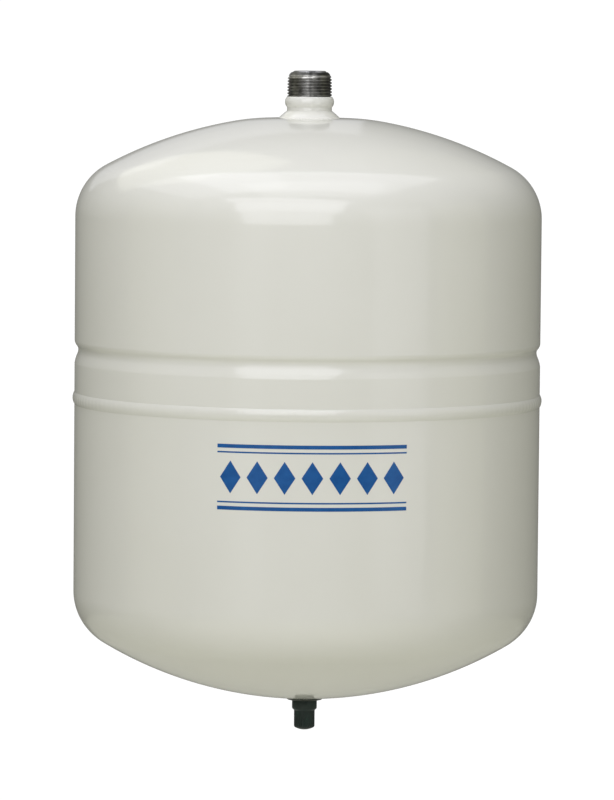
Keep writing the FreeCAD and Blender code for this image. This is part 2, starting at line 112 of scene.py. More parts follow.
def drawOutline(outline):
    # a plane merged to one point, which is extruded along the outline and back to its start
    deselectAll()
    bpy.ops.mesh.primitive_plane_add(size=mm, location=(outline[0][0], 0, outline[0][1]))
    bpy.ops.object.mode_set(mode="EDIT")
    bpy.ops.mesh.select_all(action="SELECT")
    bpy.ops.mesh.merge(type="CENTER")
    closed = list(outline) + [outline[0]]
    for before, after in zip(closed, closed[1:]):
        step = (after[0] - before[0], 0, after[1] - before[1])
        bpy.ops.mesh.extrude_region_move(TRANSFORM_OT_translate={"value": step})
    mergeDoubles()
    return bpy.context.object


def lathe(name, outline, segments, smoothDegrees=35):
    # turns a closed outline about the tank's axis
    piece = drawOutline(outline)
    bpy.ops.mesh.select_all(action="SELECT")
    bpy.ops.mesh.spin(steps=segments, angle=2 * math.pi, center=(0, 0, 0), axis=(0, 0, 1))
    mergeDoubles()
    faceOutwards()
    return settle(piece, name, smoothDegrees)


def threadRidge(name, thread):
    # a closed ridge of one thread's section, wound up the axis by a Screw modifier
    base = thread["rootRadius"] - thread["sink"]
    foot = thread["foot"]
    pitch = thread["pitch"]
    baseShare = 0.46
    rootShare = 0.94
    halfBase = pitch * baseShare
    halfRoot = halfBase * rootShare
    halfCrest = pitch * thread["crestShare"] / 2
    piece = drawOutline([
        (base, foot - halfBase),
        (thread["rootRadius"], foot - halfRoot),
        (thread["crestRadius"], foot - halfCrest),
        (thread["crestRadius"], foot + halfCrest),
        (thread["rootRadius"], foot + halfRoot),
        (base, foot + halfBase),
    ])
    bpy.ops.object.mode_set(mode="OBJECT")
    bpy.ops.object.transform_apply(location=True, rotation=True, scale=True)
    wind = piece.modifiers.new("wind", "SCREW")
    wind.axis = "Z"
    wind.angle = 2 * math.pi * thread["turns"]
    wind.screw_offset = pitch * thread["turns"]
    wind.steps = int(thread["segments"] * thread["turns"])
    wind.render_steps = wind.steps
    wind.iterations = 1
    wind.use_merge_vertices = False
    selectOnly(piece)
    bpy.ops.object.modifier_apply(modifier=wind.name)
    # a face closes each open end
    bpy.ops.object.mode_set(mode="EDIT")
    bpy.ops.mesh.select_all(action="DESELECT")
    bpy.ops.mesh.select_non_manifold()
    bpy.ops.mesh.edge_face_add()
    faceOutwards()
    return settle(piece, name, smoothDegrees=30)


def moveRadially(piece, newRadius):
    # newRadius gives each point's new distance from the axis from its radius, height and angle
    for vertex in piece.data.vertices:
        x, y, z = vertex.co
        radius = math.hypot(x, y)
        if radius < tolerance:
            continue
        share = newRadius(radius, z, math.atan2(y, x)) / radius
        vertex.co = (x * share, y * share, z)
    piece.data.update()


def joined(name, pieces, smoothDegrees=35):
    deselectAll()
    for piece in pieces:
        piece.select_set(True)
    bpy.context.view_layer.objects.active = pieces[0]
    bpy.ops.object.join()
    return settle(pieces[0], name, smoothDegrees)


def finishPiece(piece, material, body, slotName, *replaced):
    piece.data.materials.clear()
    piece.data.materials.append(material)
    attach(piece, body)
    if replaced:
        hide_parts(*replaced)
    return piece


# Materials

def newMaterial(name):
    material = bpy.data.materials.new(name)
    material.use_nodes = True
    tree = material.node_tree
    shader = next(node for node in tree.nodes if node.type == "BSDF_PRINCIPLED")
    return material, tree, shader


def addNode(tree, kind, **values):
    node = tree.nodes.new(kind)
    for key, value in values.items():
        if key in node.inputs:
            node.inputs[key].default_value = value
        else:
            setattr(node, key, value)
    return node


def noiseOn(tree, scale, detail, roughness=0.5):
    # noise fixed to the object, so it stays put from every side
    place = tree.nodes.get("place") or addNode(tree, "ShaderNodeTexCoord", name="place")
    noise = addNode(tree, "ShaderNodeTexNoise", Scale=scale, Detail=detail, Roughness=roughness)
    tree.links.new(place.outputs["Object"], noise.inputs["Vector"])
    return noise.outputs["Fac"]


def ramp(tree, source, stops):
    node = tree.nodes.new("ShaderNodeValToRGB")
    elements = node.color_ramp.elements
    while len(elements) < len(stops):
        elements.new(0.5)
    for element, (position, colour) in zip(elements, stops):
        element.position = position
        element.color = (*colour, 1)
    tree.links.new(source, node.inputs["Fac"])
    return node.outputs["Color"]


def grey(value):
    return (value, value, value)


def bumpFrom(tree, height, distance, strength, under=None):
    bump = addNode(tree, "ShaderNodeBump", Distance=distance, Strength=strength)
    tree.links.new(height, bump.inputs["Height"])
    if under:
        tree.links.new(under, bump.inputs["Normal"])
    return bump.outputs["Normal"]


def withPaintedLight(tree, colour, axis, low, high, stops):
    # paints light and shade into a colour: darkens it by shares that change from low to high along one
    # axis of the object
    split = addNode(tree, "ShaderNodeSeparateXYZ")
    tree.links.new(tree.nodes["place"].outputs["Object"], split.inputs["Vector"])
    along = addNode(tree, "ShaderNodeMapRange", **{"From Min": low, "From Max": high})
    tree.links.new(split.outputs[axis], along.inputs["Value"])
    shares = ramp(tree, along.outputs["Result"], [(position, grey(share)) for position, share in stops])
    film = addNode(tree, "ShaderNodeVectorMath", operation="MULTIPLY")
    tree.links.new(colour, film.inputs[0])
    tree.links.new(shares, film.inputs[1])
    return film.outputs["Vector"]


# what a finish has unless it says otherwise
plainLook = {
    "cloudDetail": 3,
    "cloudRoughness": 0.5,
    "films": [],
    "metallic": 0,
    "grainDetail": 2,
    "grainDepth": 0.02 * mm,
    "grainStrength": 0.4,
    "ripple": None,
    "subsurface": 0,
    "subsurfaceRadius": (1, 0.2, 0.1),
}


def surfaceFinish(name, **changes):
    # cloudy colour between two shades, bands of painted light and shade over it, and a fine grain in the
    # surface
    look = {**plainLook, **changes}
    material, tree, shader = newMaterial(name)
    cloud = noiseOn(tree, look["cloudScale"], look["cloudDetail"], look["cloudRoughness"])
    colour = ramp(tree, cloud, look["shades"])
    for film in look["films"]:
        colour = withPaintedLight(tree, colour, *film)
    tree.links.new(colour, shader.inputs["Base Color"])
    shader.inputs["Metallic"].default_value = look["metallic"]
    shader.inputs["Roughness"].default_value = look["roughness"]
    shader.inputs["Subsurface Weight"].default_value = look["subsurface"]
    shader.inputs["Subsurface Radius"].default_value = look["subsurfaceRadius"]
    under = None
    if look["ripple"]:
        ripple = look["ripple"]
        waves = noiseOn(tree, ripple["scale"], ripple["detail"])
        under = bumpFrom(tree, waves, ripple["depth"], ripple["strength"])
    grain = noiseOn(tree, look["grainScale"], look["grainDetail"])
    bump = bumpFrom(tree, grain, look["grainDepth"], look["grainStrength"], under)
    tree.links.new(bump, shader.inputs["Normal"])
    return material


# baked enamel: a faint orange peel, and the slow ripple of drawn sheet under it
paintFinish = surfaceFinish(
    "ivoryEnamel",
    shades=[(0.35, (0.748, 0.745, 0.675)), (0.65, (0.76, 0.757, 0.69))],
    cloudScale=14,
    cloudDetail=4,
    roughness=0.11,
    grainScale=420,
    grainStrength=0.35,
    ripple={"scale": 9, "detail": 1, "depth": 0.5 * mm, "strength": 0.5},
)

# cut steel with painted light: across, brightest on the left, darker to the right, with a dark painted
# reflection streak down the middle; upwards, a band of painted highlight low on the rounded nose, painted
# shade over its top, and the thread below it a little darker
paintedReflectionAcross = [(0, 1), (0.46, 0.85), (0.5, 0.45), (0.53, 0.45), (0.57, 0.85), (0.72, 0.6), (1, 0.38)]
paintedNoseLight = [(0, 0.6), (0.42, 0.6), (0.48, 1), (0.7, 1), (0.76, 0.25), (0.9, 0.12)]
steelFinish = surfaceFinish(
    "nippleSteel",
    shades=[(0.3, (0.16, 0.158, 0.14)), (0.72, (0.9, 0.89, 0.83))],
    cloudScale=260,
    cloudDetail=5,
    cloudRoughness=0.6,
    films=[("X", -13 * mm, 13 * mm, paintedReflectionAcross), ("Z", 7 * mm, 15 * mm, paintedNoseLight)],
    metallic=0.9,
    roughness=0.34,
    grainScale=1500,
    grainStrength=0.5,
)


def turnedMetal(name, dark, bright, roughness, metallic=1, films=()):
    return surfaceFinish(
        name,
        shades=[(0.35, dark), (0.65, bright)],
        cloudScale=320,
        films=films,
        metallic=metallic,
        roughness=roughness,
        grainScale=1800,
        grainDetail=1,
        grainDepth=0.01 * mm,
    )


bareSteelFinish = turnedMetal("rolledSteel", grey(0.3), grey(0.5), 0.36)
brassFinish = turnedMetal("turnedBrass", (0.5, 0.33, 0.12), (0.72, 0.5, 0.2), 0.28)
darkBevelFinish = turnedMetal("darkBevelMetal", (0.06, 0.066, 0.056), (0.1, 0.11, 0.095), 0.5)

# painted highlights: two bright patches on the front of the insert's flange edge, and painted shade over
# the rest, darker at the back and on top
paintedHighlightPatches = [(0.2, 0.3), (0.3, 1), (0.44, 1), (0.5, 0.3), (0.6, 0.3), (0.66, 1), (0.78, 1), (0.88, 0.3)]
paintedInsertLight = [
    ("X", -13 * mm, 13 * mm, paintedHighlightPatches),
    ("Y", -10 * mm, 10 * mm, [(0.45, 1), (0.6, 0.2)]),
    ("Z", 14 * mm, 16 * mm, [(0.48, 1), (0.6, 0.12)]),
]
insertFinish = turnedMetal("steelWithPaintedLight", grey(0.5), grey(0.85), 0.3, 0.45, paintedInsertLight)

capFinish = surfaceFinish(
    "blackPlastic",
    shades=[(0.4, (0.0005, 0.012, 0.009)), (0.7, (0.002, 0.02, 0.015))],
    cloudScale=180,
    roughness=0.42,
    grainScale=2600,
    grainDetail=1,
    grainDepth=0.01 * mm,
)
rubberFinish = surfaceFinish(
    "butylRubber",
    shades=[(0.35, grey(0.012)), (0.75, grey(0.03))],
    cloudScale=60,
    cloudDetail=4,
    roughness=0.62,
    grainScale=900,
    grainDepth=0.03 * mm,
    grainStrength=0.5,
)
plasticFinish = surfaceFinish(
    "naturalPlastic",
    shades=[(0.35, (0.62, 0.6, 0.53)), (0.7, (0.72, 0.7, 0.64))],
    cloudScale=40,
    roughness=0.42,
    grainScale=700,
    subsurface=0.15,
    subsurfaceRadius=(2 * mm, 1.6 * mm, 1.2 * mm),
)
inkFinish = surfaceFinish(
    "blueInk",
    shades=[(0.35, (0.0, 0.075, 0.27)), (0.7, (0.004, 0.095, 0.32))],
    cloudScale=220,
    roughness=0.3,
    grainScale=1200,
    grainDepth=0.01 * mm,
    grainStrength=0.3,
)
print("materials made")


# The two drawn shells

shell = {
    "radius": 139.7 * mm,
    "wall": 1.3 * mm,
    "topPole": -10.75 * mm,
    "topCrown": 255 * mm,
    "topKnuckle": 34.95 * mm,
    "topBlend": 134 * mm,
    "topLandRadius": 21.3 * mm,
    "straight": 225.2 * mm,
    "bottomCrown": 238 * mm,
    "bottomKnuckle": 34 * mm,
    "grooveDrop": 79.7 * mm,
    "grooveDepth": 2.2 * mm,
    "grooveRoot": 3.6 * mm,
    "grooveUpperShoulder": 5.2 * mm,
    "grooveLowerRoot": 7.0 * mm,
    "grooveLowerShoulder": 5.0 * mm,
    "grooveFlankTop": 24,
    "grooveFlankEnd": 11,
    "girthDrop": 108.7 * mm,
    "girthRoot": 3.2 * mm,
    "joggleLip": 9 * mm,
    "fit": 0.1 * mm,
    "neckHole": 13.55 * mm,
    "landRadius": 14.6 * mm,
    "valveHole": 5.1 * mm,
    "segments": 288,
    "shoulderSteps": 4,
    "grooveSteps": 8,
    "knuckleSteps": 24,
    "crownSteps": 36,
    "blendSteps": 12,
}
topCentre = shell["topPole"] - shell["topCrown"]
topReach = shell["topCrown"] - shell["topKnuckle"]
topTangent = topCentre + leg(topReach, shell["radius"] - shell["topKnuckle"])
blendReach = shell["topCrown"] - shell["topBlend"]
blendCentre = topCentre + leg(blendReach, shell["topLandRadius"])
topLand = blendCentre + shell["topBlend"]
bottomTangent = topTangent - shell["straight"]
bottomReach = shell["bottomCrown"] - shell["bottomKnuckle"]
bottomCentre = bottomTangent + leg(bottomReach, shell["radius"] - shell["bottomKnuckle"])
grooveHeight = topTangent - shell["grooveDrop"]
girthHeight = topTangent - shell["girthDrop"]
landHeight = bottomCentre - leg(shell["bottomCrown"], shell["landRadius"])
joggle = shell["wall"] + shell["fit"]


def grooveLine(inset):
    steps = shell["grooveSteps"]
    side = shell["radius"] - inset
    bottom = side - shell["grooveDepth"]
    root = shell["grooveRoot"] + inset
    upper = shell["grooveUpperShoulder"] - inset
    reach = root + upper
    upperHalf = leg(reach, reach - shell["grooveDepth"])
    upperBend = math.degrees(math.asin(upperHalf / reach))

    # the lower side is the softer one: a wide root, an almost straight flank and a short shoulder
    flankTop = shell["grooveFlankTop"]
    flankEnd = shell["grooveFlankEnd"]
    steep = math.radians(flankTop)
    soft = math.radians(flankEnd)
    flank = (
        shell["grooveDepth"]
        - shell["grooveLowerRoot"] * (1 - math.cos(steep))
        - shell["grooveLowerShoulder"] * (1 - math.cos(soft))
    ) / (math.cos(soft) - math.cos(steep)) - inset
    lowerRoot = shell["grooveLowerRoot"] + inset
    lower = shell["grooveLowerShoulder"] - inset
    flankCentre = (
        bottom + lowerRoot - (lowerRoot + flank) * math.cos(steep),
        grooveHeight - (lowerRoot + flank) * math.sin(steep),
    )
    lowerCentre = (side - lower, flankCentre[1] + (flank - lower) * math.sin(soft))
    return (
        arc(lowerCentre, lower, 0, flankEnd, shell["shoulderSteps"])
        + arc(flankCentre, flank, flankEnd, flankTop, steps)[1:]
        + arc((bottom + lowerRoot, grooveHeight), lowerRoot, 180 + flankTop, 180, steps)[1:]
        + arc((bottom + root, grooveHeight), root, 180, 180 - upperBend, steps)[1:]
        + arc((side - upper, grooveHeight + upperHalf), upper, -upperBend, 0, steps)[1:]
    )


def topLine(inset, endRadius):
    # knuckle, crown, and the blend to the flat land round the nipple
    turn = math.degrees(math.acos((shell["radius"] - shell["topKnuckle"]) / topReach))
    blendStart = math.degrees(math.acos(shell["topLandRadius"] / blendReach))
    knuckleCentre = (shell["radius"] - shell["topKnuckle"], topTangent)
    blendFrom = (shell["topLandRadius"], blendCentre)
    return (
        arc(knuckleCentre, shell["topKnuckle"] - inset, 0, turn, shell["knuckleSteps"])
        + arc((0, topCentre), shell["topCrown"] - inset, turn, blendStart, shell["crownSteps"])[1:]
        + arc(blendFrom, shell["topBlend"] - inset, blendStart, 90, shell["blendSteps"])[1:]
        + [(endRadius, topLand - inset)]
    )


def upperShellPiece():
    rim = girthHeight + shell["girthRoot"] / 2

    def line(inset):
        foot = (shell["radius"] - inset, rim)
        return [foot] + grooveLine(inset) + topLine(inset, shell["neckHole"])

    piece = lathe("upperShell", line(0) + line(shell["wall"])[::-1], shell["segments"])
    return finishPiece(piece, paintFinish, "tank", "ivory_paint", "upper_shell")


def lowerShellPiece():
    slopeFoot = girthHeight - shell["girthRoot"] / 2
    # the joggle slopes at 45 degrees, so its corners are mitred at half of that
    mitre = math.tan(math.radians(22.5))

    def line(inset):
        crown = shell["bottomCrown"] - inset
        turn = math.degrees(math.acos((shell["radius"] - shell["bottomKnuckle"]) / bottomReach))
        knuckleCentre = (shell["radius"] - shell["bottomKnuckle"], bottomTangent)
        land = landHeight + inset
        landEdge = leg(crown, bottomCentre - land)
        end = math.degrees(math.acos(landEdge / crown))
        rim = [
            (shell["radius"] - joggle - inset, girthHeight + shell["joggleLip"]),
            (shell["radius"] - joggle - inset, slopeFoot + joggle - inset * mitre),
            (shell["radius"] - inset, slopeFoot - inset * mitre),
        ]
        return (
            rim
            + arc(knuckleCentre, shell["bottomKnuckle"] - inset, 0, -turn, shell["knuckleSteps"])
            + arc((0, bottomCentre), crown, -turn, -end, shell["crownSteps"])[1:]
            + [(shell["valveHole"], land)]
        )

    piece = lathe("lowerShell", line(0) + line(shell["wall"])[::-1], shell["segments"])
    return finishPiece(piece, paintFinish, "tank", "ivory_paint", "lower_shell")


upperShellPiece()
lowerShellPiece()
print("shells turned")


# The girth weld, with the ripples that the torch left

def girthWeldPiece():
    bead = {
        "width": 7.4 * mm,
        "crown": 1.2 * mm,
        "steps": 14,
        "segments": 1440,
        "ripple": 5.2 * mm,
        "rippleDepth": 0.07 * mm,
        "chevron": 1.6,
        "wander": 0.1 * mm,
        # waves in a turn, share and phase
        "waves": [(7, 1, 0.6), (17, 0.6, 0), (41, 0.4, 2)],
    }
    half = bead["width"] / 2
    radius = bulgeRadius(half, bead["crown"])
    centre = (shell["radius"] + bead["crown"] - radius, girthHeight)
    bend = math.degrees(math.asin(half / radius))
    rootHalf = shell["girthRoot"] / 2
    outline = arc(centre, radius, -bend, bend, bead["steps"]) + [
        (shell["radius"], girthHeight + rootHalf),
        (shell["radius"] - joggle, girthHeight + rootHalf),
        (shell["radius"] - joggle, girthHeight - rootHalf + joggle),
        (shell["radius"], girthHeight - rootHalf),
    ]
    piece = lathe("girthWeld", outline, bead["segments"])
    ripples = round(2 * math.pi * shell["radius"] / bead["ripple"])
    allShares = sum(share for count, share, phase in bead["waves"])

    def rippled(radius, height, angle):
        if radius <= shell["radius"] + tolerance:
            return radius
        across = (height - girthHeight) / half
        lift = 1 - across ** 2
        scale = math.cos(ripples * angle + bead["chevron"] * across ** 2)
        slow = sum(share * math.sin(count * angle + phase) for count, share, phase in bead["waves"])
        fine = bead["rippleDepth"] * (1 - scale) / 2
        broad = bead["wander"] * (allShares - slow) / (2 * allShares)
        return radius - lift * (fine + broad)

    moveRadially(piece, rippled)
    settle(piece, "girthWeld", smoothDegrees=60)
    return finishPiece(piece, paintFinish, "tank", "ivory_paint", "girth_weld")


girthWeldPiece()
print("girth weld laid")


# The pipe nipple, its collar and its fillet weld

nipple = {
    "threadRadius": 13.335 * mm,
    "mouth": 14.7 * mm,
    "fullThread": 5.1 * mm,
    "taper": 1 / 32,
    "noseLength": 4.7 * mm,
    "mouthRadius": 10.8 * mm,
    "mouthChamfer": 0.4 * mm,
    "collarHeight": 6.3 * mm,
    "collarCrown": 1.25 * mm,
    "neckRadius": 13.45 * mm,
    "boreRadius": 10.3 * mm,
    "pitch": 1.8143 * mm,
    "threadDepth": 0.85 * mm,
    "underCrests": 0.02 * mm,
    "paintDepth": 1 * mm,
    "collarSteps": 18,
    "wallSteps": 60,
    "segments": 160,
}


def taperAt(height):
    return max(0, height - nipple["fullThread"]) * nipple["taper"]


def crestAt(height):
    # the envelope of the crests: full, then tapered, then rounded over on the nose
    noseFoot = nipple["mouth"] - nipple["noseLength"]
    straight = nipple["threadRadius"] - taperAt(min(height, noseFoot))
    if height <= noseFoot:
        return straight
    nose = bulgeRadius(nipple["noseLength"], straight - nipple["mouthRadius"])
    return straight - nose + leg(nose, height - noseFoot)


def nipplePiece():
    root = nipple["threadRadius"] - nipple["threadDepth"]
    foot = topLand - shell["wall"]
    half = nipple["collarHeight"] / 2
    bulge = bulgeRadius(half, nipple["collarCrown"])
    centre = (nipple["neckRadius"] + nipple["collarCrown"] - bulge, -half)
    bend = math.degrees(math.asin(half / bulge))
    heights = [nipple["mouth"] * step / nipple["wallSteps"] for step in range(nipple["wallSteps"] + 1)]
    outline = [(nipple["boreRadius"], foot), (nipple["neckRadius"], foot)]
    outline += arc(centre, bulge, -bend, bend, nipple["collarSteps"])
    outline += [
        (min(root - taperAt(height), crestAt(height) - nipple["underCrests"]), height)
        for height in heights
    ]
    outline += [
        (nipple["boreRadius"] + nipple["mouthChamfer"], nipple["mouth"]),
        (nipple["boreRadius"], nipple["mouth"] - nipple["mouthChamfer"]),
    ]
    body = lathe("nippleBody", outline, nipple["segments"])
    thread = {
        "rootRadius": root,
        "crestRadius": nipple["threadRadius"],
        "sink": 0.5 * mm,
        "pitch": nipple["pitch"],
        "crestShare": 0.36,
        "foot": -0.76 * mm,
        "turns": 7.7,
        "segments": 120,
    }
    ridge = threadRidge("nippleThread", thread)

    def tapered(radius, height, angle):
        # the last turns run out on the nose
        return min(radius - taperAt(height), crestAt(height))

    moveRadially(ridge, tapered)
    piece = joined("pipeNipple", [body, ridge], smoothDegrees=30)
    finishPiece(piece, steelFinish, "tank", "nipple_steel", "pipe_nipple")
    # the collar and neck are painted with the tank
    piece.data.materials.append(paintFinish)
    painted = nipple["neckRadius"] - nipple["paintDepth"]
    for face in piece.data.polygons:
        if face.center.z < 0 and math.hypot(face.center.x, face.center.y) > painted:
            face.material_index = 1
    return piece


def neckWeldPiece():
    weld = {"foot": 4.9 * mm, "rise": 4.25 * mm, "bulge": 0.12 * mm, "steps": 12, "segments": 360}
    neck = nipple["neckRadius"]
    toe = (neck + weld["foot"], topLand)
    top = (neck, topLand + weld["rise"])
    chord = math.hypot(weld["foot"], top[1] - toe[1])
    radius = bulgeRadius(chord / 2, weld["bulge"])
    middle = ((toe[0] + top[0]) / 2, (toe[1] + top[1]) / 2)
    back = leg(radius, chord / 2)
    inward = (-(top[1] - toe[1]) / chord, (top[0] - toe[0]) / chord)
    centre = (middle[0] + inward[0] * back, middle[1] + inward[1] * back)
    begin = math.degrees(math.atan2(toe[1] - centre[1], toe[0] - centre[0]))
    end = math.degrees(math.atan2(top[1] - centre[1], top[0] - centre[0]))
    outline = arc(centre, radius, begin, end, weld["steps"]) + [(neck, topLand)]
    piece = lathe("neckWeld", outline, weld["segments"])
    return finishPiece(piece, paintFinish, "tank", "ivory_paint", "neck_weld")


nipplePiece()
neckWeldPiece()
print("nipple threaded and welded")


# What shows in the nipple's mouth

def insertPiece():
    insert = {
        "outside": 9.0 * mm,
        "wall": 1.3 * mm,
        "flange": 10.1 * mm,
        "under": 14.1 * mm,
        "thick": 1.4 * mm,
        "round": 1.3 * mm,
        "roundSteps": 8,
        "innerRound": 0.5 * mm,
        "innerSteps": 5,
        "linerInside": 2.6 * mm,
        "segments": 128,
    }
    inside = insert["outside"] - insert["wall"]
    foot = topLand - insert["linerInside"]
    top = insert["under"] + insert["thick"]
    outer = insert["round"]
    inner = insert["innerRound"]
    outline = [
        (inside, foot),
        (insert["outside"], foot),
        (insert["outside"], insert["under"]),
        (insert["flange"], insert["under"]),
    ]
    outline += arc((insert["flange"] - outer, top - outer), outer, 0, 90, insert["roundSteps"])
    outline += arc((inside + inner, top - inner), inner, 90, 180, insert["innerSteps"])
    piece = lathe("linerInsert", outline, insert["segments"])
    return finishPiece(piece, insertFinish, "tank", "bare_steel", "liner_insert")


insertPiece()


# The air valve: flange, threaded stem and cap

valve = {
    "flangeRadius": 13.1 * mm,
    "flangeThick": 2.5 * mm,
    "flangeEdge": 0.5 * mm,
    "flangeSlope": 3.0 * mm,
    "bevelRound": 0.5 * mm,
    "bevelShift": 0.15 * mm,
    "bevelTurn": -35,
    "bevelSteps": 5,
    "rimBreak": 0.1 * mm,
    "rimDrop": 0.08 * mm,
    "shankRadius": 5.0 * mm,
    "shankLength": 8.0 * mm,
    "stemRadius": 3.85 * mm,
    "stemLength": 14.2 * mm,
    "chamfer": 0.5 * mm,
    "mouthChamfer": 0.2 * mm,
    "runoutFoot": 1.2 * mm,
    "runoutTop": 0.8 * mm,
    "coreRadius": 2.65 * mm,
    "coreDepth": 7.0 * mm,
    "seatDepth": 1.2 * mm,
    "throatRadius": 1.95 * mm,
    "pitch": 0.794 * mm,
    "threadDepth": 0.42 * mm,
    "segments": 128,
}
flangeFoot = landHeight - valve["flangeThick"]
stemEnd = flangeFoot - valve["stemLength"]


def coatFlange(piece):
    # the flange's rim takes the tank's paint, and its downward-facing bevel is given a dark metal finish
    piece.data.materials.append(paintFinish)
    piece.data.materials.append(darkBevelFinish)
    margin = 0.1 * mm
    bareRadius = valve["stemRadius"] + 0.3 * mm
    facingDown = -0.3
    for face in piece.data.polygons:
        onFlange = flangeFoot - margin < face.center.z < landHeight + margin
        if onFlange and math.hypot(face.center.x, face.center.y) > bareRadius:
            face.material_index = 2 if face.normal.z < facingDown else 1


def valveBodyPiece():
    shankTop = landHeight + shell["wall"] + valve["shankLength"]
    root = valve["stemRadius"] - valve["threadDepth"]
    seat = stemEnd + valve["coreDepth"]
    edge = landHeight - valve["flangeEdge"]
    bevelCentre = (
        valve["flangeRadius"] - valve["flangeSlope"] + valve["bevelShift"],
        flangeFoot + valve["bevelRound"],
    )
    outline = [
        (valve["throatRadius"], shankTop),
        (valve["throatRadius"], seat + valve["seatDepth"]),
        (valve["coreRadius"], seat),
        (valve["coreRadius"], stemEnd + valve["mouthChamfer"]),
        (valve["coreRadius"] + valve["mouthChamfer"], stemEnd),
        (root - valve["chamfer"] / 2, stemEnd),
        (root, stemEnd + valve["chamfer"] / 2),
        (root, flangeFoot - valve["runoutFoot"]),
        (valve["stemRadius"], flangeFoot - valve["runoutTop"]),
        (valve["stemRadius"], flangeFoot),
    ]
    outline += arc(bevelCentre, valve["bevelRound"], -90, valve["bevelTurn"], valve["bevelSteps"])
    outline += [
        (valve["flangeRadius"] - valve["rimBreak"], edge - valve["rimDrop"]),
        (valve["flangeRadius"], edge + valve["rimBreak"]),
        (valve["flangeRadius"], landHeight),
        (valve["shankRadius"], landHeight),
        (valve["shankRadius"], shankTop - valve["chamfer"]),
        (valve["shankRadius"] - valve["chamfer"], shankTop),
    ]
    body = lathe("valveBodyTurned", outline, valve["segments"])
    thread = {
        "rootRadius": root,
        "crestRadius": valve["stemRadius"],
        "sink": 0.2 * mm,
        "pitch": valve["pitch"],
        "crestShare": 0.14,
        "foot": stemEnd + 0.55 * mm,
        "turns": 15.2,
        "segments": 72,
    }
    ridge = threadRidge("valveThread", thread)
    piece = joined("airValveBody", [body, ridge], smoothDegrees=30)
    finishPiece(piece, brassFinish, "tank", "valve_metal", "air_valve_body")
    coatFlange(piece)
    return piece


def capPiece():
    cap = {
        "gap": 0.2 * mm,
        "height": 18.2 * mm,
        "skirtRadius": 7.5 * mm,
        "skirtHeight": 6.2 * mm,
        "skirtSlope": 0.8,
        "skirtFillet": 0.3 * mm,
        "filletSteps": 3,
        "skirtBreak": 0.15 * mm,
        "skirtEdge": 0.2 * mm,
        "lipRound": 0.25 * mm,
        "lipSteps": 4,
        "radius": 6.25 * mm,
        "sideSteps": 14,
        "endCrown": 12.0 * mm,
        "crownSteps": 8,
        "endRound": 1.4 * mm,
        "roundSteps": 6,
        "endWall": 2.3 * mm,
        "bore": 3.95 * mm,
        "pocket": 5.55 * mm,
        "pocketDepth": 2.4 * mm,
        "flutes": 20,
        "fluteDepth": 0.3 * mm,
        "fluteHeight": 8.5 * mm,
        "fluteRunout": 0.8 * mm,
        "fluteSharpness": 1.5,
        "segments": 320,
    }
    top = flangeFoot - cap["gap"]
    end = top - cap["height"]
    side = cap["radius"]
    skirt = cap["skirtRadius"]
    fillet = cap["skirtFillet"]
    lip = cap["lipRound"]
    sideTop = top - cap["skirtHeight"] - fillet
    slopeTop = top - cap["skirtHeight"] + (skirt - side) * cap["skirtSlope"]
    reach = cap["endCrown"] - cap["endRound"]
    edgeAcross = side - cap["endRound"]
    edgeCentre = (edgeAcross, end + cap["endCrown"] - leg(reach, edgeAcross))
    turn = math.degrees(math.acos(edgeAcross / reach))
    outline = arc((0, end + cap["endCrown"]), cap["endCrown"], -90, -turn, cap["crownSteps"])
    outline += arc(edgeCentre, cap["endRound"], -turn, 0, cap["roundSteps"])[1:]
    outline += divided((side, edgeCentre[1]), (side, sideTop), cap["sideSteps"])[1:]
    outline += arc((side + fillet, sideTop), fillet, 180, 135, cap["filletSteps"])[1:]
    outline += [
        (skirt - cap["skirtBreak"], slopeTop - cap["skirtBreak"]),
        (skirt, slopeTop + cap["skirtEdge"]),
    ]
    outline += arc((skirt - lip, top - lip), lip, 0, 90, cap["lipSteps"])
    outline += [
        (cap["pocket"], top),
        (cap["pocket"], top - cap["pocketDepth"]),
        (cap["bore"], top - cap["pocketDepth"]),
        (cap["bore"], end + cap["endWall"]),
        (0, end + cap["endWall"]),
    ]
    piece = lathe("valveCap", outline, cap["segments"], smoothDegrees=40)

    def fluted(radius, height, angle):
        rise = (end + cap["fluteHeight"] - height) / cap["fluteRunout"]
        share = (radius - edgeAcross) / cap["endRound"]
        if rise <= 0 or share <= 0:
            return radius
        groove = max(0, math.cos(cap["flutes"] * angle)) ** cap["fluteSharpness"]
        return radius - cap["fluteDepth"] * groove * min(1, rise) * min(1, share)

    moveRadially(piece, fluted)
    settle(piece, "valveCap", smoothDegrees=40)
    return finishPiece(piece, capFinish, "valve_cap", "black_plastic", "valve_cap")


valveBodyPiece()
capPiece()
print("air valve and cap made")


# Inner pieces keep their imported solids, with finishes of their own
innerFinishes = {
    "liner": plasticFinish,
    "liner_o_ring": rubberFinish,
    "diaphragm": rubberFinish,
    "clamp_ring": bareSteelFinish,
    "core_plug": brassFinish,
    "core_gasket": rubberFinish,
    "core_barrel": brassFinish,
    "core_pin": brassFinish,
    "core_cup": brassFinish,
    "core_cup_seal": rubberFinish,
    "core_spring": bareSteelFinish,
    "cap_o_ring": rubberFinish,
}
for nodeName, innerFinish in innerFinishes.items():
    node = nodes[nodeName]
    node.data.materials.clear()
    node.data.materials.append(innerFinish)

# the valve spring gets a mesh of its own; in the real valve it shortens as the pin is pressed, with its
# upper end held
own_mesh(nodes["core_spring"])
print("inner pieces finished")


# A plain blue device where the side is printed: two pairs of rules, and a row of diamonds between them

def flatPrint(piece, size, cuts):
    # sizes a flat piece and cuts it across, so that it can bend round the side
    middle = piece.location.x
    piece.scale = size
    bpy.ops.object.transform_apply(location=True, rotation=True, scale=True)
    bpy.ops.object.mode_set(mode="EDIT")
    for cut in range(1, cuts):
        bpy.ops.mesh.select_all(action="SELECT")
        place = middle + size[0] * (cut / cuts - 0.5)
        bpy.ops.mesh.bisect(plane_co=(place, 0, 0), plane_no=(1, 0, 0))
    bpy.ops.object.mode_set(mode="OBJECT")
    return piece


